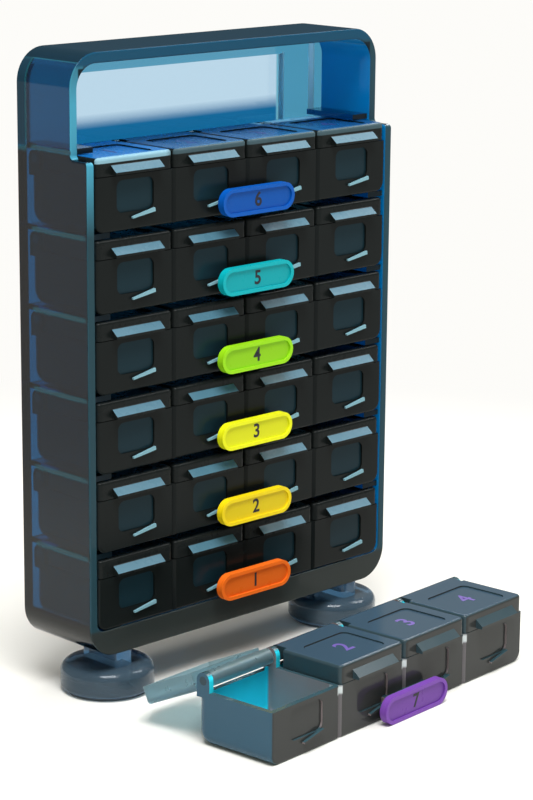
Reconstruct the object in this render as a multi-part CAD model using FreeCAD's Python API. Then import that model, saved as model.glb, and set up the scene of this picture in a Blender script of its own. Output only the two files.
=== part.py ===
import FreeCAD, Part
import math
import os

# Weekly pill drawer organizer: a translucent tower on two stick-down feet, with six day
# drawers in it and the seventh standing in front. Every drawer is a tray of four pockets
# with four hinged lids and a coloured day tag. Millimetres, +Z up, drawers open along -Y.

# ---------------------------------------------------------------- tower
tower_width = 115.0
tower_height = 175.0
sleeve_depth = 28.0
head_setback = 6.5          # how far the front edge stands back beside the top slot
head_step_drop = 3.8        # the step's foot is this far under the top slot
head_step_round = 1.2
side_wall = 2.5
top_wall = 3.0
floor_wall = 7.5
outer_corner_radius = 9.0
window_corner_radius = 6.5
floor_corner_radius = 2.5
front_edge_round = 0.5
stop_width = 16.0           # back flanges that stop the drawers
stop_top_height = 4.9       # the same flange along the top
stop_thickness = 2.0
back_pane_thickness = 0.6   # thin pane that closes the back between the flanges

# ---------------------------------------------------------------- slots
slot_pitch = 21.7
rail_thickness = 1.5
rail_width = 6.0
rail_front_gap = 1.0        # rail starts this far behind the front edge

# ---------------------------------------------------------------- feet
pad_thickness = 1.0
pad_inset = 1.5             # how far the pad stays inside its disc's edge
disc_margin = 1.0           # how far the disc's radius stays under half the sleeve's depth
disc_thickness = 7.0
disc_top_round = 2.5
disc_bottom_round = 0.8
neck_height = 4.6
neck_width = 6.0
neck_depth = 15.0
peg_radius = 2.5
peg_length = 3.3
peg_end_gap = 0.2
foot_inset = 13.1           # a foot's middle from the sleeve's side
foot_forward = 5.5          # a foot's middle in front of the sleeve's

# ---------------------------------------------------------------- drawer fit in its slot
side_clearance = 0.4
base_clearance = 0.1
lid_clearance = 0.3
back_clearance = 0.3

# ---------------------------------------------------------------- tray
cells = 4
tray_wall = 1.6
tray_floor = 1.5
tray_corner_radius = 3.0
tray_edge_round = 0.7
tray_back_round = 4.0       # along the tray's lower back edge
back_wall_drop = 1.0        # back wall stands this far lower, so the lids can swing over it
pocket_corner_radius = 1.4
groove_width = 1.6
groove_depth = 0.8
panel_width = 13.0
panel_bottom = 4.8
panel_top_margin = 1.2
panel_depth = 0.6
panel_corner_radius = 2.0
rib_width = 8.0
rib_height = 1.0
rib_left_height = 0.5
rib_reach = 0.9
rib_offset = 2.4            # towards the right of the panel's middle
rib_bottom = 3.6
rib_tilt = 8.0              # degrees, the right end higher

# ---------------------------------------------------------------- lids and their hinge
lid_height = 5.2
lid_seam = 0.2
lid_gap = 0.6
lid_top = 1.4
lid_skirt = 1.3
lid_corner_radius = 1.5
lid_top_round = 0.9
label_panel_width = 18.0
label_panel_depth = 15.0
label_panel_sink = 0.4
label_panel_radius = 2.0
thumb_tab_width = 17.0
thumb_tab_height = 2.5
thumb_tab_tip_height = 0.7
thumb_tab_reach = 2.2
thumb_tab_lift = 0.4        # above the lid's lower edge
rod_radius = 1.2
rod_fit = 0.07              # radial clearance of a lid on its rod
barrel_radius = 2.2
ear_side_gap = 0.3          # between a lid's barrel and the ears beside it
ear_front_gap = 1.5         # between a lid's cap and the ears behind it
lid_opening = 205.0         # degrees, where a lid has swung right back

# ---------------------------------------------------------------- day tags
tag_length = 27.0
tag_height = 7.6
tag_thickness = 2.2
tag_rim = 1.0
tag_sink = 0.5
tag_bottom = 0.1
bracket_width = 18.0
bracket_height = 5.0
bracket_reach = 2.5

# ---------------------------------------------------------------- the drawer out in front
loose_x = 1.4               # middle of its front face
loose_y = -74.1
loose_turn = 4.9            # degrees about +Z

# ---------------------------------------------------------------- sizes that follow
disc_radius = sleeve_depth / 2 - disc_margin
pad_radius = disc_radius - pad_inset
foot_spacing = tower_width - 2 * foot_inset
foot_height = pad_thickness + disc_thickness + neck_height
sleeve_height = tower_height - foot_height
inner_width = tower_width - 2 * side_wall
first_slot_z = foot_height + floor_wall
front_y = -sleeve_depth / 2
back_y = sleeve_depth / 2
pocket_back_round = tray_back_round - tray_wall

drawer_height = slot_pitch - rail_thickness - base_clearance - lid_clearance
drawer_depth = sleeve_depth - stop_thickness - back_clearance
tray_width = inner_width - 2 * side_clearance
tray_height = drawer_height - lid_height
cell_pitch = tray_width / cells

lid_width = cell_pitch - lid_gap
lid_bottom = tray_height + lid_seam
hinge_y = drawer_depth - barrel_radius
hinge_z = drawer_height - barrel_radius
cap_back = hinge_y - barrel_radius - ear_front_gap
barrel_width = cell_pitch - 2 * (tray_wall + ear_side_gap)
rod_length = tray_width

days_in_tower = ["monday", "tuesday", "wednesday", "thursday", "friday", "saturday"]
loose_day = "sunday"
tiny = 0.01
x_way = FreeCAD.Vector(1, 0, 0)
y_way = FreeCAD.Vector(0, 1, 0)
z_way = FreeCAD.Vector(0, 0, 1)


# ---------------------------------------------------------------- helpers
def block(x0, x1, y0, y1, z0, z1):
    """Box between two corners."""
    return Part.makeBox(x1 - x0, y1 - y0, z1 - z0, FreeCAD.Vector(x0, y0, z0))


def round_edges(shape, radius, wanted):
    """Fillet the edges whose middle point passes the test."""
    return shape.makeFillet(radius, [edge for edge in shape.Edges if wanted(edge.CenterOfMass)])


def rounded_section(width, height, top_radius, bottom_radius, y0, y1, z0):
    """Bar along Y whose section has its own top and bottom corner radius."""
    bar = block(-width / 2, width / 2, y0, y1, z0, z0 + height)
    middle_y = (y0 + y1) / 2
    middle_z = z0 + height / 2

    def is_long_edge(point):
        return abs(point.y - middle_y) < tiny and abs(point.x) > tiny

    if bottom_radius > 0:
        bar = round_edges(bar, bottom_radius, lambda p: is_long_edge(p) and p.z < middle_z)
    if top_radius > 0:
        bar = round_edges(bar, top_radius, lambda p: is_long_edge(p) and p.z > middle_z)
    return bar


def rounded_trough(width, height, y0, y1, z0, back_radius, side_radius):
    """Block about x = 0 with a rounded lower back edge and rounded lower sides."""
    form = block(-width / 2, width / 2, y0, y1, z0, z0 + height)
    form = round_edges(form, back_radius, lambda p: abs(p.y - y1) < tiny and abs(p.z - z0) < tiny)

    def is_lower_side(point):
        return abs(abs(point.x) - width / 2) < tiny and point.z < z0 + back_radius and point.y > y0 + tiny

    return round_edges(form, side_radius, is_lower_side)


def upright_prism(corners_yz, x0, x1):
    """Prism along X from corners given as (y, z)."""
    points = [FreeCAD.Vector(x0, y, z) for y, z in corners_yz]
    face = Part.Face(Part.makePolygon(points + points[:1]))
    return face.extrude(x_way * (x1 - x0))


def stadium(length, height, y0, y1, centre_z):
    """Plate facing -Y with half-round ends."""
    half_straight = (length - height) / 2
    plate = block(-half_straight, half_straight, y0, y1, centre_z - height / 2, centre_z + height / 2)
    for end_x in (-half_straight, half_straight):
        centre = FreeCAD.Vector(end_x, y0, centre_z)
        plate = plate.fuse(Part.makeCylinder(height / 2, y1 - y0, centre, y_way))
    return plate.removeSplitter()


def bar_along_x(radius, length, middle_x, y, z):
    """Round bar along X about a middle point."""
    return Part.makeCylinder(radius, length, FreeCAD.Vector(middle_x - length / 2, y, z), x_way)


def cell_centres():
    """X of the middle of each of a drawer's cells."""
    return [(cell - (cells - 1) / 2) * cell_pitch for cell in range(cells)]


def cell_limits(cell):
    """X limits of a cell's pocket, between its two walls."""
    left = -tray_width / 2 + cell * cell_pitch
    right = left + cell_pitch
    left += tray_wall if cell == 0 else tray_wall / 2
    right -= tray_wall if cell == cells - 1 else tray_wall / 2
    return left, right


# ---------------------------------------------------------------- sleeve of the tower
def support_rails():
    """Pairs of rails that carry every drawer above the lowest."""
    rails = []
    inner_x = inner_width / 2
    for slot in range(1, len(days_in_tower) + 1):
        top = first_slot_z + slot * slot_pitch
        edge_y = front_y if slot < len(days_in_tower) else front_y + head_setback
        for side in (-1, 1):
            x0, x1 = sorted((side * (inner_x - rail_width), side * (inner_x + tiny)))
            y0 = edge_y + rail_front_gap
            y1 = back_y - stop_thickness + tiny
            rails.append(block(x0, x1, y0, y1, top - rail_thickness, top))
    return rails


def back_stops():
    """Flanges round the back that the trays stop against."""
    inner_x = inner_width / 2
    low = first_slot_z - tiny
    high = tower_height - top_wall + tiny
    stops = []
    for side in (-1, 1):
        x0, x1 = sorted((side * (inner_x - stop_width), side * (inner_x + tiny)))
        stops.append(block(x0, x1, back_y - stop_thickness, back_y, low, high))
    top_low = tower_height - top_wall - stop_top_height
    stops.append(block(-inner_x, inner_x, back_y - stop_thickness, back_y, top_low, high))
    return stops


def back_pane():
    """Thin pane that closes the back between the flanges."""
    half = inner_width / 2 - stop_width + tiny
    return block(-half, half, back_y - back_pane_thickness, back_y,
                 first_slot_z - tiny, tower_height - top_wall + tiny)


def head_cutter():
    """Takes the front edge back beside the top slot, with a rounded step at its foot."""
    low = first_slot_z + len(days_in_tower) * slot_pitch - head_step_drop
    radius = head_step_round
    high = low + 2 * radius
    over = tower_height + side_wall
    arc_middle = radius * (1 - math.sqrt(0.5))

    def at(y, z):
        return FreeCAD.Vector(-tower_width, front_y + y, z)

    foot = Part.Arc(at(0, low), at(arc_middle, low + radius - arc_middle), at(radius, low + radius))
    corner = Part.Arc(at(head_setback - radius, low + radius),
                      at(head_setback - arc_middle, low + radius + arc_middle), at(head_setback, high))
    ledge = Part.makeLine(at(radius, low + radius), at(head_setback - radius, low + radius))
    around = [at(head_setback, high), at(head_setback, over), at(-radius, over), at(-radius, low), at(0, low)]
    edges = [foot.toShape(), ledge, corner.toShape()]
    edges += [Part.makeLine(a, b) for a, b in zip(around, around[1:])]
    return Part.Face(Part.Wire(edges)).extrude(x_way * 2 * tower_width)


def make_sleeve():
    """Rectangular sleeve, open at the front, with flanges and a thin pane at the back."""
    outside = rounded_section(tower_width, sleeve_height, outer_corner_radius, outer_corner_radius,
                              front_y, back_y, foot_height)
    slot_space = rounded_section(inner_width, sleeve_height - top_wall - floor_wall,
                                 window_corner_radius, floor_corner_radius,
                                 front_y - side_wall, back_y + side_wall, first_slot_z)
    sleeve = outside.cut(slot_space)
    trimmed = [piece.common(outside) for piece in support_rails() + back_stops() + [back_pane()]]
    sleeve = sleeve.fuse(trimmed)
    sleeve = sleeve.cut(head_cutter())
    for side in (-1, 1):
        mouth = FreeCAD.Vector(side * foot_spacing / 2, -foot_forward, foot_height)
        sleeve = sleeve.cut(Part.makeCylinder(peg_radius, peg_length + peg_end_gap, mouth, z_way))
    sleeve = sleeve.removeSplitter()
    head_y = front_y + head_setback
    return round_edges(sleeve, front_edge_round,
                       lambda p: p.y < front_y + tiny or abs(p.y - head_y) < tiny)


# ---------------------------------------------------------------- feet
def make_foot(side):
    """Round disc with a neck, and a peg that goes up into the sleeve's floor."""
    centre_x = side * foot_spacing / 2
    disc_top = pad_thickness + disc_thickness
    base = FreeCAD.Vector(centre_x, -foot_forward, pad_thickness)
    disc = Part.makeCylinder(disc_radius, disc_thickness, base)
    disc = round_edges(disc, disc_top_round, lambda p: abs(p.z - disc_top) < tiny)
    disc = round_edges(disc, disc_bottom_round, lambda p: abs(p.z - pad_thickness) < tiny)
    neck = block(centre_x - neck_width / 2, centre_x + neck_width / 2,
                 -foot_forward - neck_depth / 2, -foot_forward + neck_depth / 2,
                 disc_top - tiny, foot_height)
    neck = round_edges(neck, neck_width / 4,
                       lambda p: abs(abs(p.y + foot_forward) - neck_depth / 2) < tiny
                       and abs(p.x - centre_x) > tiny)
    peg_base = FreeCAD.Vector(centre_x, -foot_forward, foot_height)
    peg = Part.makeCylinder(peg_radius, peg_length, peg_base)
    return disc.fuse([neck, peg]).removeSplitter()


def make_foot_pad(side):
    """Adhesive pad under a disc."""
    base = FreeCAD.Vector(side * foot_spacing / 2, -foot_forward, 0)
    return Part.makeCylinder(pad_radius, pad_thickness, base)


# ---------------------------------------------------------------- tray, in the drawer's frame
# The drawer's frame has x = 0 at its middle, y = 0 at its front face and z = 0 under it.
def front_grooves():
    """V grooves down the front between neighbouring cells."""
    grooves = []
    for boundary in range(1, cells):
        x = -tray_width / 2 + boundary * cell_pitch
        corners = [FreeCAD.Vector(x - groove_width / 2, 0, 0), FreeCAD.Vector(x, groove_depth, 0),
                   FreeCAD.Vector(x + groove_width / 2, 0, 0)]
        corners.append(corners[0])
        face = Part.Face(Part.makePolygon(corners))
        grooves.append(face.extrude(z_way * tray_height))
    return grooves


def hinge_ears():
    """Ears over each wall's back end that hold the rod."""
    ears = []
    for boundary in range(cells + 1):
        x = -tray_width / 2 + boundary * cell_pitch
        if boundary == 0:
            x += tray_wall / 2
        if boundary == cells:
            x -= tray_wall / 2
        stem = block(x - tray_wall / 2, x + tray_wall / 2, hinge_y - barrel_radius,
                     hinge_y + barrel_radius, tray_height - tray_wall, hinge_z)
        ears.append(stem.fuse(bar_along_x(barrel_radius, tray_wall, x, hinge_y, hinge_z)))
    return ears


def front_panel(centre_x):
    """Shallow recess in the front of one cell."""
    height = tray_height - panel_top_margin - panel_bottom
    recess = rounded_section(panel_width, height, panel_corner_radius, panel_corner_radius,
                             -panel_depth, panel_depth, panel_bottom)
    recess.translate(FreeCAD.Vector(centre_x, 0, 0))
    return recess


def finger_rib(centre_x):
    """Small slanted rib under one cell's recess, deeper at its right end."""
    corners = [(-rib_width / 2, 0), (rib_width / 2, 0), (rib_width / 2, rib_height),
               (-rib_width / 2, rib_left_height)]
    points = [FreeCAD.Vector(x, -rib_reach, z) for x, z in corners]
    face = Part.Face(Part.makePolygon(points + points[:1]))
    rib = face.extrude(y_way * (rib_reach + tray_wall / 2))
    rib.rotate(FreeCAD.Vector(0, 0, 0), y_way, -rib_tilt)
    rib.translate(FreeCAD.Vector(centre_x + rib_offset, 0, rib_bottom))
    return rib


def make_tray():
    """Tray with its pockets, hinge ears and the bracket for the tag."""
    tray = rounded_trough(tray_width, tray_height, 0, drawer_depth, 0,
                          tray_back_round, tray_corner_radius)
    tray = round_edges(tray, tray_edge_round, lambda p: abs(p.y) < tiny and p.z < tray_height - tiny)
    pockets = []
    for cell in range(cells):
        left, right = cell_limits(cell)
        pocket = rounded_trough(right - left, tray_height, tray_wall, drawer_depth - tray_wall,
                                tray_floor, pocket_back_round, pocket_corner_radius)
        pocket.translate(FreeCAD.Vector((left + right) / 2, 0, 0))
        pockets.append(pocket)
    half_inside = tray_width / 2 - tray_wall
    wall_cut = block(-half_inside, half_inside, drawer_depth - tray_wall, drawer_depth + tiny,
                     tray_height - back_wall_drop, tray_height + tiny)
    tray = tray.cut(pockets + [wall_cut])
    tray = tray.cut(front_grooves() + [front_panel(x) for x in cell_centres()])
    ribs = [finger_rib(x) for x in cell_centres()]
    bracket_z = tag_bottom + (tag_height - bracket_height) / 2
    bracket = block(-bracket_width / 2, bracket_width / 2, -bracket_reach, tray_wall / 2,
                    bracket_z, bracket_z + bracket_height)
    tray = tray.fuse(hinge_ears() + ribs + [bracket])
    tray = tray.cut(bar_along_x(rod_radius, rod_length + 2 * tray_wall, 0, hinge_y, hinge_z))
    return tray.removeSplitter()


def make_hinge_rod():
    """Rod along the back of a drawer that its lids turn on."""
    return bar_along_x(rod_radius, rod_length, 0, hinge_y, hinge_z)


# ---------------------------------------------------------------- lid, closed, over x = 0
def make_lid():
    """Shallow cap with a thumb tab in front and a barrel round the rod at the back."""
    cap = block(-lid_width / 2, lid_width / 2, 0, cap_back, lid_bottom, drawer_height)
    cap = round_edges(cap, lid_corner_radius, lambda p: abs(p.y) < tiny and abs(p.x) > tiny)
    cap = round_edges(cap, lid_top_round,
                      lambda p: abs(p.z - drawer_height) < tiny and p.y < cap_back - tiny)
    hollow = block(lid_skirt - lid_width / 2, lid_width / 2 - lid_skirt, lid_skirt,
                   cap_back - lid_skirt, lid_bottom - lid_skirt, drawer_height - lid_top)
    label_panel = block(-label_panel_width / 2, label_panel_width / 2,
                        (cap_back - label_panel_depth) / 2, (cap_back + label_panel_depth) / 2,
                        drawer_height - label_panel_sink, drawer_height + label_panel_sink)
    label_panel = round_edges(label_panel, label_panel_radius,
                              lambda p: abs(p.z - drawer_height) < tiny)
    hinge_plate = block(-barrel_width / 2, barrel_width / 2, cap_back - lid_skirt, hinge_y,
                        drawer_height - lid_top, drawer_height)
    barrel = bar_along_x(barrel_radius, barrel_width, 0, hinge_y, hinge_z)
    tab_z = lid_bottom + thumb_tab_lift
    tab_top = tab_z + thumb_tab_height
    tab = upright_prism([(lid_skirt / 2, tab_z), (-thumb_tab_reach, tab_z),
                         (-thumb_tab_reach, tab_z + thumb_tab_tip_height),
                         (0, tab_top), (lid_skirt / 2, tab_top)],
                        -thumb_tab_width / 2, thumb_tab_width / 2)
    lid = cap.cut([hollow, label_panel]).fuse([hinge_plate, barrel, tab])
    lid = lid.cut(bar_along_x(rod_radius + rod_fit, lid_width, 0, hinge_y, hinge_z))
    return lid.removeSplitter()


# ---------------------------------------------------------------- day tag
def make_tag():
    """Stadium plate with a raised rim, on the tray's bracket."""
    centre_z = tag_bottom + tag_height / 2
    face_y = -bracket_reach - tag_thickness
    plate = stadium(tag_length, tag_height, face_y, -bracket_reach, centre_z)
    sunk = stadium(tag_length - 2 * tag_rim, tag_height - 2 * tag_rim,
                   face_y - tag_sink, face_y + tag_sink, centre_z)
    return plate.cut(sunk)


# ---------------------------------------------------------------- putting it together
def make_drawer(day, open_lids=()):
    """All of one drawer's pieces in its own frame, by node name."""
    pieces = {"tray_" + day: make_tray(), "hinge_rod_" + day: make_hinge_rod(),
              "tag_" + day: make_tag()}
    for cell, centre_x in enumerate(cell_centres()):
        lid = make_lid()
        if cell in open_lids:
            lid.rotate(FreeCAD.Vector(0, hinge_y, hinge_z), x_way, -lid_opening)
        lid.translate(FreeCAD.Vector(centre_x, 0, 0))
        pieces["lid_%s_%d" % (day, cell + 1)] = lid
    return pieces


def build():
    """Every piece in the tower's frame, whose Z axis is the tower's middle."""
    pieces = {"sleeve": make_sleeve()}
    for side, name in ((-1, "left"), (1, "right")):
        pieces["foot_" + name] = make_foot(side)
        pieces["foot_pad_" + name] = make_foot_pad(side)
    for slot, day in enumerate(days_in_tower):
        base_z = first_slot_z + slot * slot_pitch + base_clearance
        for name, shape in make_drawer(day).items():
            shape.translate(FreeCAD.Vector(0, front_y, base_z))
            pieces[name] = shape
    for name, shape in make_drawer(loose_day, open_lids=(0,)).items():
        shape.rotate(FreeCAD.Vector(0, 0, 0), z_way, loose_turn)
        shape.translate(FreeCAD.Vector(loose_x, loose_y, 0))
        pieces[name] = shape
    return pieces


def centred(pieces):
    """Move the set so that the origin is the middle of its footprint."""
    bounds = Part.makeCompound(list(pieces.values())).optimalBoundingBox(False, False)
    shift = FreeCAD.Vector(-bounds.Center.x, -bounds.Center.y, -bounds.ZMin)
    for shape in pieces.values():
        shape.translate(shift)
    return shift


os.makedirs("parts", exist_ok=True)
parts = build()
origin_shift = centred(parts)
print("origin shift", origin_shift.x, origin_shift.y, origin_shift.z)
for node, solid in parts.items():
    if not solid.isValid() or len(solid.Solids) != 1:
        raise RuntimeError("%s is not one valid solid" % node)
    solid.exportStep("parts/%s.step" % node)
print(len(parts), "parts")
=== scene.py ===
import math

import bmesh
import bpy
from mathutils import Matrix, Vector


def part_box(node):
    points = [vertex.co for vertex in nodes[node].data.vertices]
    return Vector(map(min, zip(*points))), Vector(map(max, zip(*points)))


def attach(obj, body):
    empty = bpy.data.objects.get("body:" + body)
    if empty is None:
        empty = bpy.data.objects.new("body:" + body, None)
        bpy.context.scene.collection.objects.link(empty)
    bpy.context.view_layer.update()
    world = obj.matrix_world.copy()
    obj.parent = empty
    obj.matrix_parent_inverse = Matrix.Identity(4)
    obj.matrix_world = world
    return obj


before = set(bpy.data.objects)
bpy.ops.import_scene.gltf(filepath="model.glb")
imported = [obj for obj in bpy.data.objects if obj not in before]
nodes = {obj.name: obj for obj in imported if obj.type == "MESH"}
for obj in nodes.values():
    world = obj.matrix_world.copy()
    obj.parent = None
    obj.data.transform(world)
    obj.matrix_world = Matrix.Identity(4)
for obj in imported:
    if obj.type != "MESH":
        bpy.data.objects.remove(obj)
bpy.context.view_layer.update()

scene = bpy.context.scene
MM = 0.001


# ---------------------------------------------------------------- places
# Six drawers lie in the tower's slots, and one stands on the table in front, turned a little.
# A drawer's own origin is under the middle of its front, at the height of its underside.
DAYS_IN_TOWER = ["monday", "tuesday", "wednesday", "thursday", "friday", "saturday"]
LOOSE_DAY = "sunday"
CELLS = 4
OPEN_CELL = 0
CELL_PITCH = 27.3
SLOT_BASE = 20.2
SLOT_PITCH = 21.7
LOOSE_TURN = math.radians(4.9)
LOOSE_ORIGIN = Vector((1.4, -41.13, 0.0)) * MM

sleeve_low, sleeve_high = [Vector(corner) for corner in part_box("sleeve")]
half_width = (sleeve_high.x - sleeve_low.x) / 2 / MM
tower_axis = Vector(((sleeve_low.x + sleeve_high.x) / 2, (sleeve_low.y + sleeve_high.y) / 2, 0.0))
tower_origin = Vector((tower_axis.x, sleeve_low.y, 0.0))


def drawer_place(day):
    """Place and turn of a day's drawer."""
    if day == LOOSE_DAY:
        return Matrix.Translation(LOOSE_ORIGIN) @ Matrix.Rotation(LOOSE_TURN, 4, "Z")
    base = (SLOT_BASE + SLOT_PITCH * DAYS_IN_TOWER.index(day)) * MM
    return Matrix.Translation(tower_origin + Vector((0.0, 0.0, base)))


def lids_of(day):
    """Names of a day's four lids."""
    return ["lid_%s_%d" % (day, cell + 1) for cell in range(CELLS)]


# ---------------------------------------------------------------- camera
# Long lens from the left and a little above the tower, which shows the sleeve's left side as
# a narrow band and lets the drawers' fronts run back towards the right.
CAMERA_YAW = math.radians(44.58)
CAMERA_PITCH = math.radians(-13.80)
CAMERA_ROLL = math.radians(0.48)
CAMERA_DISTANCE = 724.7 * MM
CAMERA_AIM = Vector((16.74, -5.0, 71.22)) * MM
CAMERA_NEAR = 10.0 * MM
SENSOR_WIDTH = 36.0
FOCAL_LENGTH = 171.16

view_way = Vector((math.sin(CAMERA_YAW) * math.cos(CAMERA_PITCH),
                   math.cos(CAMERA_YAW) * math.cos(CAMERA_PITCH),
                   math.sin(CAMERA_PITCH)))
level_right = Vector((math.cos(CAMERA_YAW), -math.sin(CAMERA_YAW), 0.0))
level_up = level_right.cross(view_way)
camera_right = math.cos(CAMERA_ROLL) * level_right + math.sin(CAMERA_ROLL) * level_up
camera_up = math.cos(CAMERA_ROLL) * level_up - math.sin(CAMERA_ROLL) * level_right
camera_turn = Matrix((camera_right, camera_up, -view_way)).transposed()
camera_data = bpy.data.cameras.new("camera")
camera_data.sensor_fit = "HORIZONTAL"
camera_data.sensor_width = SENSOR_WIDTH
camera_data.lens = FOCAL_LENGTH
camera_data.clip_start = CAMERA_NEAR
camera = bpy.data.objects.new("camera", camera_data)
camera.matrix_world = (Matrix.Translation(tower_axis + CAMERA_AIM - CAMERA_DISTANCE * view_way)
                       @ camera_turn.to_4x4())
scene.collection.objects.link(camera)
scene.camera = camera


# ---------------------------------------------------------------- node helpers
# Short forms for the shader nodes that the sky, the paper and every plastic are built from.
# A value is either a plain number or colour, or another node's output.
MIX_SOCKETS = {"FLOAT": (2, 3, 0), "RGBA": (6, 7, 2)}


def fill(tree, socket, value):
    """Give a socket a plain value, or link another node's output to it."""
    if isinstance(value, bpy.types.NodeSocket):
        tree.links.new(value, socket)
    else:
        socket.default_value = value


def number(tree, operation, *values):
    """Result of one math node."""
    node = tree.nodes.new("ShaderNodeMath")
    node.operation = operation
    for socket, value in zip(node.inputs, values):
        fill(tree, socket, value)
    return node.outputs[0]


def ramp(tree, value, start, finish, low=0.0, high=1.0, kind="LINEAR"):
    """Runs from low to high while a value runs from start to finish, and holds beyond."""
    node = tree.nodes.new("ShaderNodeMapRange")
    node.interpolation_type = kind
    limits = {"From Min": start, "From Max": finish, "To Min": low, "To Max": high}
    for name, limit in limits.items():
        node.inputs[name].default_value = limit
    tree.links.new(value, node.inputs["Value"])
    return node.outputs["Result"]


def band(tree, value, low, high, soft):
    """1 where a value lies between two limits, with soft ends."""
    above = ramp(tree, value, low - soft, low + soft)
    below = ramp(tree, value, high + soft, high - soft)
    return number(tree, "MULTIPLY", above, below)


def mix(tree, kind, share, first, second):
    """Blend of two numbers (FLOAT) or two colours (RGBA) by a share."""
    node = tree.nodes.new("ShaderNodeMix")
    node.data_type = kind
    first_socket, second_socket, result = MIX_SOCKETS[kind]
    tree.links.new(share, node.inputs["Factor"])
    fill(tree, node.inputs[first_socket], first)
    fill(tree, node.inputs[second_socket], second)
    return node.outputs[result]


def mix_shaders(tree, share, first, second):
    """Blend of two shaders by a share."""
    node = tree.nodes.new("ShaderNodeMixShader")
    for socket, value in zip(node.inputs, (share, first, second)):
        tree.links.new(value, socket)
    return node.outputs["Shader"]


def rays_of(tree, *kinds):
    """1 for light rays of any of the given kinds."""
    rays = tree.nodes.new("ShaderNodeLightPath").outputs
    share = rays["Is %s Ray" % kinds[0]]
    for kind in kinds[1:]:
        share = number(tree, "MAXIMUM", share, rays["Is %s Ray" % kind])
    return share


# ---------------------------------------------------------------- studio
# Pale paper that keeps the soft shadow near the object and turns evenly pale further out,
# under a soft sky. A softbox stands high on the right, a strong one overhead towards the
# left front, and a small one behind on the right.
PAPER = (0.982, 0.973, 0.945, 1.0)
PAPER_SHADED = (0.88, 0.87, 0.83, 1.0)
PAPER_ROUGHNESS = 0.9
PAPER_SPECULAR = 0.1
PAPER_SIZE = 30.0
PAPER_CELLS = 8
SHADOW_REACH = (0.16, 0.34)
SKY_COLOUR = (1.0, 0.97, 0.85, 1.0)
SKY_STRENGTH = 0.30
LAMP_AIM = Vector((0.0, -20.0, 80.0)) * MM
SOFTBOXES = {
    "key": {"way": (0.68, -0.10, 0.73), "distance": 1.2, "size": (0.55, 0.40), "watts": 5.0},
    "top": {"way": (-0.25, -0.30, 1.0), "distance": 1.3, "size": (0.70, 0.70), "watts": 21.0},
    "rim": {"way": (0.68, 0.45, 0.58), "distance": 1.1, "size": (0.35, 0.18), "watts": 2.2},
}

scene.view_settings.view_transform = "Standard"
world = bpy.data.worlds.new("sky")
scene.world = world
world.use_nodes = True
sky_tree = world.node_tree
sky = sky_tree.nodes["Background"]
sky.inputs["Color"].default_value = SKY_COLOUR
sky.inputs["Strength"].default_value = SKY_STRENGTH
sky_seen = sky_tree.nodes.new("ShaderNodeBackground")
sky_seen.inputs["Color"].default_value = PAPER
sky_shader = mix_shaders(sky_tree, rays_of(sky_tree, "Camera", "Transmission"),
                         sky.outputs["Background"], sky_seen.outputs["Background"])
sky_tree.links.new(sky_shader, sky_tree.nodes["World Output"].inputs["Surface"])

for name, box in SOFTBOXES.items():
    lamp = bpy.data.lights.new(name, "AREA")
    lamp.shape = "RECTANGLE"
    lamp.size, lamp.size_y = box["size"]
    lamp.energy = box["watts"]
    holder = bpy.data.objects.new(name, lamp)
    aim = tower_axis + LAMP_AIM
    holder.location = aim + Vector(box["way"]).normalized() * box["distance"]
    holder.rotation_euler = (aim - holder.location).to_track_quat("-Z", "Y").to_euler()
    scene.collection.objects.link(holder)

paper_mesh = bmesh.new()
bmesh.ops.create_grid(paper_mesh, x_segments=PAPER_CELLS, y_segments=PAPER_CELLS,
                      size=PAPER_SIZE / 2)
paper_data = bpy.data.meshes.new("paper")
paper_mesh.to_mesh(paper_data)
paper_mesh.free()
paper = bpy.data.objects.new("paper", paper_data)
paper.location = tower_axis
scene.collection.objects.link(paper)
paper_finish = bpy.data.materials.new("paper")
paper_finish.use_nodes = True
paper_tree = paper_finish.node_tree
paper_shader = paper_tree.nodes["Principled BSDF"]
paper_shader.inputs["Base Color"].default_value = PAPER_SHADED
paper_shader.inputs["Roughness"].default_value = PAPER_ROUGHNESS
paper_shader.inputs["Specular IOR Level"].default_value = PAPER_SPECULAR
paper_glow = paper_tree.nodes.new("ShaderNodeEmission")
paper_glow.inputs["Color"].default_value = PAPER
paper_place = paper_tree.nodes.new("ShaderNodeTexCoord")
paper_radius = paper_tree.nodes.new("ShaderNodeVectorMath")
paper_radius.operation = "LENGTH"
paper_tree.links.new(paper_place.outputs["Object"], paper_radius.inputs[0])
far_out = ramp(paper_tree, paper_radius.outputs["Value"], *SHADOW_REACH, kind="SMOOTHSTEP")
paper_seen = rays_of(paper_tree, "Camera", "Transmission", "Glossy")
paper_surface = mix_shaders(paper_tree, number(paper_tree, "MULTIPLY", far_out, paper_seen),
                            paper_shader.outputs["BSDF"], paper_glow.outputs["Emission"])
paper_tree.links.new(paper_surface, paper_tree.nodes["Material Output"].inputs["Surface"])
paper_data.materials.append(paper_finish)


# ---------------------------------------------------------------- plastics
# Every piece is glossy moulded plastic: one colour with soft clouds, flow waves and an uneven
# shine. Paints on it show where light gathers in the plastic or is lost. A place for a paint
# gives coordinates (in mm) or facings their low limit, high limit and softness.
PLASTIC_IOR = 1.35
SHADE_TINT = (0.08, 0.08, 0.06, 1.0)
CLOUD_NOISE = {"Scale": 60.0, "Detail": 3.0}
WAVE_NOISE = {"Scale": 110.0, "Detail": 2.0}
SHINE_NOISE = {"Scale": 260.0, "Detail": 5.0}
SHINE_SPREAD = (0.7, 1.3)
WAVE_HEIGHT = 0.5 * MM
LOOSE_AXES = {"origin": LOOSE_ORIGIN, "turn": LOOSE_TURN}


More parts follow.
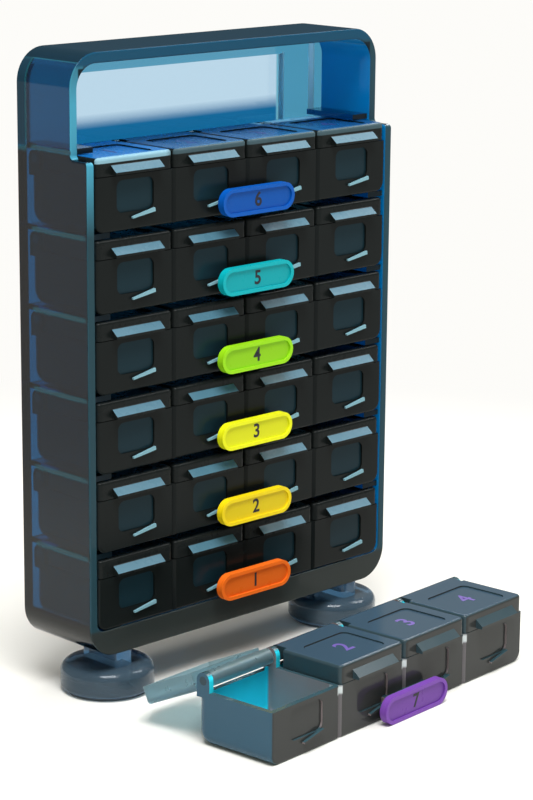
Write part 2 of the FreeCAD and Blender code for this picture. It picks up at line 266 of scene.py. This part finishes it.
class Plastic:
    """A material with coordinates and facings, for painting parts of the surface."""

    def __init__(self, name, colour, roughness, specular=0.5, cloud=0.06, wave=0.03,
                 origin=tower_origin, turn=0.0):
        self.material = bpy.data.materials.new(name)
        self.material.use_nodes = True
        self.tree = self.material.node_tree
        self.shader = self.tree.nodes["Principled BSDF"]
        self.shader.inputs["IOR"].default_value = PLASTIC_IOR
        self.shader.inputs["Specular IOR Level"].default_value = specular
        self.place = self.tree.nodes.new("ShaderNodeTexCoord").outputs["Object"]
        face = self.tree.nodes.new("ShaderNodeNewGeometry").outputs["Normal"]
        self.along = self.split("at_", self.place, origin, turn)
        self.along.update(self.split("looks_", face, Vector(), turn))
        darker = tuple(channel * (1 - cloud) for channel in colour[:3]) + (1.0,)
        self.colour = mix(self.tree, "RGBA", self.noise(CLOUD_NOISE), darker, colour)
        bump = self.tree.nodes.new("ShaderNodeBump")
        bump.inputs["Strength"].default_value = wave
        bump.inputs["Distance"].default_value = WAVE_HEIGHT
        self.tree.links.new(self.noise(WAVE_NOISE), bump.inputs["Height"])
        self.tree.links.new(bump.outputs["Normal"], self.shader.inputs["Normal"])
        smooth, dull = [roughness * spread for spread in SHINE_SPREAD]
        shine = ramp(self.tree, self.noise(SHINE_NOISE), 0.0, 1.0, smooth, dull)
        self.tree.links.new(shine, self.shader.inputs["Roughness"])
        self.clearness = 0.0

    def noise(self, settings):
        """Soft noise over the piece."""
        node = self.tree.nodes.new("ShaderNodeTexNoise")
        for name, value in settings.items():
            node.inputs[name].default_value = value
        self.tree.links.new(self.place, node.inputs["Vector"])
        return node.outputs["Fac"]

    def split(self, prefix, vector, origin, turn):
        """X, Y and Z of a vector by name, from an origin and in axes turned about Z."""
        shift = self.tree.nodes.new("ShaderNodeMapping")
        shift.inputs["Location"].default_value = -origin
        self.tree.links.new(vector, shift.inputs["Vector"])
        spin = self.tree.nodes.new("ShaderNodeMapping")
        spin.inputs["Rotation"].default_value = (0.0, 0.0, -turn)
        self.tree.links.new(shift.outputs["Vector"], spin.inputs["Vector"])
        parts = self.tree.nodes.new("ShaderNodeSeparateXYZ")
        self.tree.links.new(spin.outputs["Vector"], parts.inputs["Vector"])
        return {prefix + axis: output for axis, output in zip("xyz", parts.outputs)}

    def where(self, *places):
        """1 where the surface lies in all of the given places."""
        share = 1.0
        for place in places:
            for name, limits in place.items():
                unit = 1.0 if name.startswith("looks_") else MM
                inside = band(self.tree, self.along[name], *[limit * unit for limit in limits])
                share = number(self.tree, "MULTIPLY", share, inside)
        return share

    def paint(self, share, colour, clearness=None):
        """Lay a colour over a share of the surface, and where asked set how clear it is."""
        self.colour = mix(self.tree, "RGBA", share, self.colour, colour)
        if clearness is not None:
            self.clearness = mix(self.tree, "FLOAT", share, self.clearness, clearness)

    def see_through(self, absorb, density, clearness):
        """Body colour by depth of plastic, and a pale instead of a black shadow."""
        self.clearness = clearness
        body = self.tree.nodes.new("ShaderNodeVolumeAbsorption")
        body.inputs["Color"].default_value = absorb
        body.inputs["Density"].default_value = density
        pale = self.tree.nodes.new("ShaderNodeBsdfTransparent")
        pale.inputs["Color"].default_value = SHADE_TINT
        surface = mix_shaders(self.tree, rays_of(self.tree, "Shadow"),
                              self.shader.outputs["BSDF"], pale.outputs["BSDF"])
        out = self.tree.nodes["Material Output"]
        self.tree.links.new(body.outputs["Volume"], out.inputs["Volume"])
        self.tree.links.new(surface, out.inputs["Surface"])

    def dress(self, names):
        """Connect what has been laid over the surface, and put the plastic on the nodes."""
        fill(self.tree, self.shader.inputs["Base Color"], self.colour)
        fill(self.tree, self.shader.inputs["Transmission Weight"], self.clearness)
        for name in names:
            slots = nodes[name].data.materials
            slots.clear()
            slots.append(self.material)


# ---------------------------------------------------------------- sleeve
# Outer case of the tower: one injection moulding in clear petrol-blue plastic, open in front,
# with rails inside for the drawers and a thin, clearer pane at the back. Drawers slide into it.
SLEEVE_TINT = (0.20, 0.52, 0.66, 1.0)
SLEEVE_ABSORB = (0.15, 0.58, 0.76, 1.0)
SLEEVE_DENSITY = 480.0
SLEEVE_SPECULAR = 0.09
RAIL_BASE = 19.35
PANE_TINT = (0.66, 0.80, 0.93, 1.0)
PANE_FOOT_LID_LIGHT = (0.010, 0.17, 0.38, 1.0)
LEFT_SIDE_SHADE = (0.010, 0.30, 0.42, 1.0)
REAR_EDGE_SHADE = (0.012, 0.050, 0.085, 1.0)
FAR_WALL_LIGHT = (0.003, 0.27, 0.66, 1.0)
FRONT_EDGE_SHADE = (0.026, 0.070, 0.092, 1.0)
FRONT_EDGE_HIGHLIGHT = (0.07, 0.36, 0.52, 1.0)
RAIL_FRONT_SHADE = (0.008, 0.018, 0.026, 1.0)
FLANGE_HIGHLIGHT = (0.50, 0.72, 0.82, 1.0)
FLANGE_STEP_HIGHLIGHT = (0.30, 0.58, 0.72, 1.0)
TOP_FACE_SHADE = (0.010, 0.030, 0.048, 1.0)
RAIL_LIGHT_LINE = (0.05, 0.13, 0.16, 1.0)
BOTTOM_EDGE_SHADE = (0.038, 0.046, 0.044, 1.0)
TOP_EDGE_SHADE = (0.012, 0.085, 0.16, 1.0)

LOOKS_FRONT = {"looks_y": (-1.2, -0.5, 0.15)}
LOOKS_LEFT = {"looks_x": (-1.2, -0.6, 0.15)}
LOOKS_UP = {"looks_z": (0.5, 1.2, 0.15)}
NEAR_FRONT = {"at_y": (-1.0, 9.0, 0.2)}
AT_LEFT = {"at_x": (-half_width - 1.0, -half_width + 4.5, 0.2)}
AT_RIGHT = {"at_x": (half_width - 4.5, half_width + 1.0, 0.2)}
BETWEEN_WALLS = {"at_x": (2.8 - half_width, half_width - 2.8, 0.2), "at_z": (25.0, 171.0, 0.2)}
IN_HEAD = {"at_z": (149.0, 200.0, 1.0)}
ON_PANE = {"at_x": (-38.0, 38.0, 0.2), "at_y": (26.0, 29.0, 0.2), "at_z": (20.0, 167.0, 0.2)}
LOW_ON_PANE = {"at_z": (-10.0, 153.5, 2.0)}
REAR_STRIP = {"at_y": (24.5, 29.0, 0.5)}
UPPER_PART = {"at_z": (137.0, 171.0, 9.0)}
ON_FLANGE_HIGHLIGHT = {"at_x": (49.5, 51.8, 0.4), "at_y": (25.5, 26.5, 0.2)}
ON_STEP = {"from_middle": (38.6, 39.4, 0.2), "at_y": (25.6, 27.6, 0.2), "at_z": (20.0, 167.5, 0.2)}
ON_TOP = {"at_z": (172.5, 180.0, 0.2)}
OUTSIDE_LEFT = {"at_x": (-half_width - 1.0, 0.5 - half_width, 0.2)}
BESIDE_RAIL = {"from_rail": (-1.0, 0.5, 0.3), "at_y": (1.5, 22.0, 1.0), "at_z": (30.0, 152.0, 0.2)}
LOWEST_PART = {"at_z": (0.0, 20.5, 0.5)}
HIGHEST_PART = {"at_z": (171.5, 200.0, 0.5)}
SLEEVE_PAINTS = [
    # colour, how clear it leaves the plastic, places that it must be in
    (PANE_TINT, None, [ON_PANE]),
    # painted light: deep blue low on the pane, standing in for the lit lid tops of the top drawer
    # behind it
    (PANE_FOOT_LID_LIGHT, None, [ON_PANE, LOW_ON_PANE]),
    # painted shade: the outside of the left wall in a deeper, darker blue than the other walls
    (LEFT_SIDE_SHADE, None, [LOOKS_LEFT, AT_LEFT]),
    # painted shade: a dark strip along the back of the left wall in the head
    (REAR_EDGE_SHADE, 0.25, [LOOKS_LEFT, AT_LEFT, REAR_STRIP, IN_HEAD]),
    # painted light: deep blue on the inner face of the right wall, where light crosses it at a
    # slant
    (FAR_WALL_LIGHT, 0.45, [LOOKS_LEFT, AT_RIGHT]),
    # painted shade: the front edge faces dark
    (FRONT_EDGE_SHADE, 0.15, [LOOKS_FRONT, NEAR_FRONT]),
    # painted highlight: a pale glow on the left front edge in the upper part
    (FRONT_EDGE_HIGHLIGHT, 0.1, [LOOKS_FRONT, NEAR_FRONT, AT_LEFT, UPPER_PART]),
    # painted shade: dark fronts of the rails between the walls
    (RAIL_FRONT_SHADE, 0.1, [LOOKS_FRONT, NEAR_FRONT, BETWEEN_WALLS]),
    # painted highlight: a pale vertical streak on the right back flange in the head
    (FLANGE_HIGHLIGHT, 0.2, [LOOKS_FRONT, ON_FLANGE_HIGHLIGHT, IN_HEAD]),
    # painted highlight: the flanges' step faces beside the pane painted light
    (FLANGE_STEP_HIGHLIGHT, 0.1, [ON_STEP]),
    # painted shade: the top face dark; its reflection is also taken away below
    (TOP_FACE_SHADE, 0.1, [LOOKS_UP, ON_TOP]),
    # painted light: a line beside each rail on the outside of the left wall, where the rails
    # behind catch light
    (RAIL_LIGHT_LINE, 0.5, [LOOKS_LEFT, OUTSIDE_LEFT, BESIDE_RAIL]),
    # painted shade: dark grey along the bottom front edge, near the table
    (BOTTOM_EDGE_SHADE, None, [LOOKS_FRONT, NEAR_FRONT, LOWEST_PART]),
    # painted shade: a dark line along the top front edge
    (TOP_EDGE_SHADE, 0.2, [LOOKS_FRONT, NEAR_FRONT, HIGHEST_PART]),
]

sleeve = Plastic("petrol_blue_clear", SLEEVE_TINT, roughness=0.05, wave=0.012)
sleeve.see_through(SLEEVE_ABSORB, SLEEVE_DENSITY, clearness=1.0)
above_rail = number(sleeve.tree, "SUBTRACT", sleeve.along["at_z"], RAIL_BASE * MM)
sleeve.along["from_rail"] = number(sleeve.tree, "PINGPONG", above_rail, SLOT_PITCH / 2 * MM)
sleeve.along["from_middle"] = number(sleeve.tree, "ABSOLUTE", sleeve.along["at_x"])
for colour, clearness, places in SLEEVE_PAINTS:
    sleeve.paint(sleeve.where(*places), colour, clearness)
off_top = number(sleeve.tree, "SUBTRACT", 1.0, sleeve.where(LOOKS_UP, ON_TOP))
fill(sleeve.tree, sleeve.shader.inputs["Specular IOR Level"],
     number(sleeve.tree, "MULTIPLY", off_top, SLEEVE_SPECULAR))
sleeve.dress(["sleeve"])


# ---------------------------------------------------------------- feet
# Round discs moulded in the same blue plastic, whose necks plug into the sleeve's floor. Each
# stands on a soft clear gel pad that sticks to the table.
FOOT_TINT = (0.24, 0.40, 0.56, 1.0)
FOOT_ABSORB = (0.20, 0.55, 0.75, 1.0)
FOOT_DENSITY = 75.0
PAD_TINT = (0.10, 0.12, 0.14, 1.0)

foot = Plastic("petrol_blue_foot", FOOT_TINT, roughness=0.09, specular=0.25)
foot.see_through(FOOT_ABSORB, FOOT_DENSITY, clearness=0.82)
foot.dress(["foot_left", "foot_right"])
pad = Plastic("clear_gel_pad", PAD_TINT, roughness=0.35, cloud=0.15)
pad.dress(["foot_pad_left", "foot_pad_right"])


# ---------------------------------------------------------------- trays
# Each drawer's tray is one moulding of smoked plastic with four pockets. Stacked in the tower
# it is painted near black as shade, with painted light in bluer recesses and a painted highlight
# beside the tag; alone, it is a lighter copy as painted light, with painted shade on its front,
# painted light on its end, partitions and pockets (teal on the back wall) and painted glints on
# the groove tops.
SMOKED_IN_SHADE = (0.010, 0.013, 0.013, 1.0)
SMOKED_IN_LIGHT = (0.06, 0.13, 0.16, 1.0)
SMOKE_ABSORB = (0.30, 0.62, 0.72, 1.0)
SMOKE_DENSITY = 300.0
RECESS_BLUE_LIGHT = (0.010, 0.030, 0.042, 1.0)
RIB_HIGHLIGHT = (0.22, 0.42, 0.50, 1.0)
LOOSE_FRONT_SHADE = (0.044, 0.047, 0.047, 1.0)
LOOSE_END_LIGHT = (0.048, 0.130, 0.205, 1.0)
PARTITION_LIGHT = (0.30, 0.25, 0.26, 1.0)
LOOSE_INSIDE_GLOW = (0.025, 0.76, 0.98, 1.0)
GLINT = (0.62, 0.68, 0.70, 1.0)

RECESS_FLOOR = {"looks_y": (-1.2, -0.8, 0.1), "at_y": (0.45, 0.75, 0.05)}
RIB_BESIDE_TAG = {"at_y": (-2.0, -0.25, 0.05), "from_middle": (11.0, 80.0, 0.01)}
TO_FRONT = {"looks_y": (-1.2, -0.7, 0.15)}
TO_LEFT = {"looks_x": (-1.2, -0.7, 0.15)}
AT_TRAY_FRONT = {"at_y": (-3.0, 3.0, 0.1)}
AT_TRAY_BACK = {"at_y": (18.0, 27.0, 0.1)}
AT_TRAY_END = {"at_x": (-56.0, -53.8, 0.1)}
AT_PARTITIONS = {"at_x": (-53.5, 56.0, 0.1)}
POCKET_FLOOR = {"looks_z": (0.8, 1.2, 0.1), "at_z": (1.0, 3.0, 0.1)}
GROOVE_TOP = {"from_groove": (-1.0, 1.0, 0.2), "at_x": (-35.0, 35.0, 0.5),
              "at_z": (12.2, 14.3, 0.3)}
LOOSE_PAINTS = [
    # colour, how clear it leaves the plastic, places that it must be in
    # painted shade: the front faces dark grey
    (LOOSE_FRONT_SHADE, 0.12, [TO_FRONT, AT_TRAY_FRONT]),
    # painted light: the left end wall in a clearer blue
    (LOOSE_END_LIGHT, 0.25, [TO_LEFT, AT_TRAY_END]),
    # painted light: the partitions' left faces lighter
    (PARTITION_LIGHT, 0.1, [TO_LEFT, AT_PARTITIONS]),
    # painted light: bright teal on the inner back walls and pocket floors, where light comes
    # through
    (LOOSE_INSIDE_GLOW, 0.1, [TO_FRONT, AT_TRAY_BACK]),
    (LOOSE_INSIDE_GLOW, 0.1, [POCKET_FLOOR]),
    (GLINT, 0.0, [GROOVE_TOP, AT_TRAY_FRONT]),
]

# stacked trays: the smoked plastic painted near black as shade
tray = Plastic("smoked_petrol", SMOKED_IN_SHADE, roughness=0.22, specular=0.15, cloud=0.25)
tray.along["from_middle"] = number(tray.tree, "ABSOLUTE", tray.along["at_x"])
# painted light: the recess floors a little bluer than the rest of the tray
tray.paint(tray.where(RECESS_FLOOR), RECESS_BLUE_LIGHT)
# painted highlight on the front strip beside the tag
tray.paint(tray.where(RIB_BESIDE_TAG), RIB_HIGHLIGHT)
tray.dress(["tray_" + day for day in DAYS_IN_TOWER])

# loose tray: a lighter, clearer copy of the same plastic, as painted light
loose_tray = Plastic("smoked_petrol_in_light", SMOKED_IN_LIGHT, roughness=0.14, specular=0.3,
                     **LOOSE_AXES)
loose_tray.see_through(SMOKE_ABSORB, SMOKE_DENSITY, clearness=0.35)
loose_tray.along["from_groove"] = number(loose_tray.tree, "PINGPONG", loose_tray.along["at_x"],
                                         CELL_PITCH / 2 * MM)
for colour, clearness, places in LOOSE_PAINTS:
    loose_tray.paint(loose_tray.where(*places), colour, clearness)
loose_tray.dress(["tray_" + LOOSE_DAY])


# ---------------------------------------------------------------- hinge rods
# One thin round rod along the back of every drawer, of hard dark plastic, pressed through the
# tray's ears. The lids turn on it.
ROD_DARK = (0.02, 0.05, 0.07, 1.0)

rod = Plastic("dark_rod", ROD_DARK, roughness=0.25)
rod.dress(["hinge_rod_" + day for day in DAYS_IN_TOWER + [LOOSE_DAY]])


# ---------------------------------------------------------------- lids
# Shallow caps of the same smoked plastic, with a sloped thumb tab in front and a barrel round
# the rod behind. In the tower they are painted near black as shade, with painted blue light on
# the top drawer's lid tops and a painted highlight on their front rims, the first one most, and
# painted highlights on the right barrels and on every tab's slope. The loose lids are a lighter
# copy as painted light, with more on their tops and painted shade in front; the open lid is
# lighter and clearer still, as light passes through it alone.
LID_TOP_LIGHT = (0.004, 0.12, 0.38, 1.0)
LID_TOP_SHADED = 0.5
LID_FRONT_HIGHLIGHT = (0.24, 0.44, 0.54, 1.0)
EDGE_SHADED = 0.2
BARREL_HIGHLIGHT = (0.62, 0.76, 0.84, 1.0)
TAB_HIGHLIGHT = (0.072, 0.175, 0.24, 1.0)
LOOSE_LID_IN_LIGHT = (0.05, 0.09, 0.11, 1.0)
LOOSE_TOP_LIGHT = (0.048, 0.090, 0.135, 1.0)
OPEN_LID_IN_LIGHT = (0.42, 0.60, 0.66, 1.0)
OPEN_ABSORB = (0.35, 0.65, 0.75, 1.0)
OPEN_DENSITY = 120.0

ON_TOP_DRAWER = {"at_z": (147.0, 152.0, 0.1)}
LID_FACES_UP = {"looks_z": (0.9, 1.2, 0.05)}
FIRST_LID = {"at_x": (-56.0, -27.0, 1.0)}
FRONT_RIM = {"at_y": (-0.5, 0.9, 0.1)}
FIRST_RIM = {"at_x": (-56.0, -29.0, 2.0)}
RIGHT_BARRELS = {"at_x": (24.0, 53.0, 1.0), "at_y": (20.0, 26.0, 0.2)}
TAB_SLOPE = {"at_y": (-4.0, -0.15, 0.05), "looks_z": (0.3, 1.2, 0.1)}
LOOSE_FACES_UP = {"looks_z": (0.85, 1.2, 0.05)}
LOOSE_FACES_FRONT = {"looks_y": (-1.2, -0.8, 0.05)}

lid = Plastic("smoked_petrol_lid", SMOKED_IN_SHADE, roughness=0.28, specular=0.18, cloud=0.25, wave=0.008)
top_light_share = number(lid.tree, "MULTIPLY_ADD", lid.where(FIRST_LID),
                    1 - LID_TOP_SHADED, LID_TOP_SHADED)
lid_tops = lid.where(LID_FACES_UP, ON_TOP_DRAWER)
# painted light: blue on the top drawer's lid tops, full on the first lid and half on the others
lid.paint(number(lid.tree, "MULTIPLY", lid_tops, top_light_share), LID_TOP_LIGHT)
rim_share = number(lid.tree, "ADD", lid.where(FIRST_RIM), EDGE_SHADED)
front_rim = lid.where(ON_TOP_DRAWER, FRONT_RIM)
# painted highlight: a pale line on the top drawer's front lid rims, the first lid most
lid.paint(number(lid.tree, "MULTIPLY", front_rim, rim_share), LID_FRONT_HIGHLIGHT)
# painted highlight: white on the right two barrels of the top drawer
lid.paint(lid.where(ON_TOP_DRAWER, RIGHT_BARRELS), BARREL_HIGHLIGHT)
# painted highlight: light blue on every tab's slope
lid.paint(lid.where(TAB_SLOPE), TAB_HIGHLIGHT)
lid.dress([name for day in DAYS_IN_TOWER for name in lids_of(day)])

# loose lids: a lighter, clearer copy of the lid plastic, as painted light
loose_lid = Plastic("smoked_petrol_lid_in_light", LOOSE_LID_IN_LIGHT, roughness=0.16, specular=0.3,
                    **LOOSE_AXES)
loose_lid.see_through(SMOKE_ABSORB, SMOKE_DENSITY, clearness=0.3)
# painted light: the lids' tops bluer
loose_lid.paint(loose_lid.where(LOOSE_FACES_UP), LOOSE_TOP_LIGHT, clearness=0.15)
# painted shade: the lids' front faces dark grey
loose_lid.paint(loose_lid.where(LOOSE_FACES_FRONT), LOOSE_FRONT_SHADE, clearness=0.1)
# open lid: a much lighter, clearer copy of the lid plastic, as painted light
open_lid = Plastic("smoked_petrol_lid_open", OPEN_LID_IN_LIGHT, roughness=0.3, specular=0.12)
open_lid.see_through(OPEN_ABSORB, OPEN_DENSITY, clearness=0.85)
for cell, name in enumerate(lids_of(LOOSE_DAY)):
    (open_lid if cell == OPEN_CELL else loose_lid).dress([name])


# ---------------------------------------------------------------- day tags
# Coloured stadium plates of moulded plastic, one fixed on the pull bracket of each tray, with
# a raised rim round a slightly darker inset.
TAGS = {
    "monday": ("1", (1.0, 0.18, 0.015, 1.0)),
    "tuesday": ("2", (1.0, 0.76, 0.008, 1.0)),
    "wednesday": ("3", (0.90, 0.93, 0.012, 1.0)),
    "thursday": ("4", (0.34, 0.76, 0.012, 1.0)),
    "friday": ("5", (0.004, 0.44, 0.50, 1.0)),
    "saturday": ("6", (0.003, 0.10, 0.48, 1.0)),
    "sunday": ("7", (0.20, 0.07, 0.42, 1.0)),
}
INSET_SHADE = 0.82
TAG_INSET = {"at_y": (-4.3, -4.1, 0.05)}

for day, (digit, colour) in TAGS.items():
    axes = LOOSE_AXES if day == LOOSE_DAY else {}
    tag = Plastic("tag_" + day, colour, roughness=0.3, specular=0.25, cloud=0.08, **axes)
    inset_colour = tuple(channel * INSET_SHADE for channel in colour[:3]) + (1.0,)
    tag.paint(tag.where(TAG_INSET), inset_colour)
    tag.dress(["tag_" + day])


# ---------------------------------------------------------------- numbers
# Printed plain numbers: the day's on its tag in dark ink, and the cell's on every lid, violet
# on the loose drawer and dark blue in the tower. Each rides on the piece that it is printed on.
TAG_DIGIT_HEIGHT = 5.4 * MM
LID_DIGIT_HEIGHT = 8.0 * MM
PRINT_THICKNESS = 0.06 * MM
PRINT_WEIGHT = 0.12 * MM
DIGIT_ON_TAG = Vector((0.0, -4.2, 3.9)) * MM
DIGIT_ON_LID = Vector((0.0, 9.9, 19.4)) * MM
HINGE = Vector((0.0, 23.5, 17.6)) * MM
UPRIGHT = Matrix.Rotation(math.radians(90.0), 4, "X")
LAID_BACK = (Matrix.Translation(HINGE) @ Matrix.Rotation(math.radians(-205.0), 4, "X")
             @ Matrix.Translation(-HINGE))
INKS = {
    "dark": (0.02, 0.02, 0.03, 1.0),
    "violet": (0.16, 0.10, 0.42, 1.0),
    "blue": (0.03, 0.05, 0.20, 1.0),
}

prints = {}
for name, colour in INKS.items():
    prints[name] = Plastic(name + "_print", colour, roughness=0.45, cloud=0.2)
    prints[name].dress([])


def printed_number(name, digit, height, ink, place, body):
    """A digit as a thin mesh, centred on its place, riding on a body."""
    text = bpy.data.curves.new(name, "FONT")
    text.body = digit
    text.size = height
    text.extrude = PRINT_THICKNESS / 2
    text.offset = PRINT_WEIGHT
    text.align_x = "CENTER"
    text.align_y = "CENTER"
    source = bpy.data.objects.new(name, text)
    scene.collection.objects.link(source)
    bpy.context.view_layer.update()
    evaluated = source.evaluated_get(bpy.context.evaluated_depsgraph_get())
    shape = bpy.data.meshes.new_from_object(evaluated)
    bpy.data.objects.remove(source)
    shape.materials.clear()
    shape.materials.append(prints[ink].material)
    piece = bpy.data.objects.new(name, shape)
    piece.matrix_world = place
    scene.collection.objects.link(piece)
    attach(piece, body)


for day, (day_digit, colour) in TAGS.items():
    drawer = drawer_place(day)
    loose = day == LOOSE_DAY
    on_tag = drawer @ Matrix.Translation(DIGIT_ON_TAG) @ UPRIGHT
    printed_number("number_" + day, day_digit, TAG_DIGIT_HEIGHT, "dark", on_tag, "drawer_" + day)
    for cell, lid_name in enumerate(lids_of(day)):
        cell_middle = Vector(((cell - (CELLS - 1) / 2) * CELL_PITCH * MM, 0.0, 0.0))
        on_lid = Matrix.Translation(DIGIT_ON_LID + cell_middle)
        if loose and cell == OPEN_CELL:
            on_lid = LAID_BACK @ on_lid
        ink = "violet" if loose else "blue"
        body = lid_name if loose else "drawer_" + day
        printed_number("number_%s_%d" % (day, cell + 1), str(cell + 1), LID_DIGIT_HEIGHT, ink,
                       drawer @ on_lid, body)
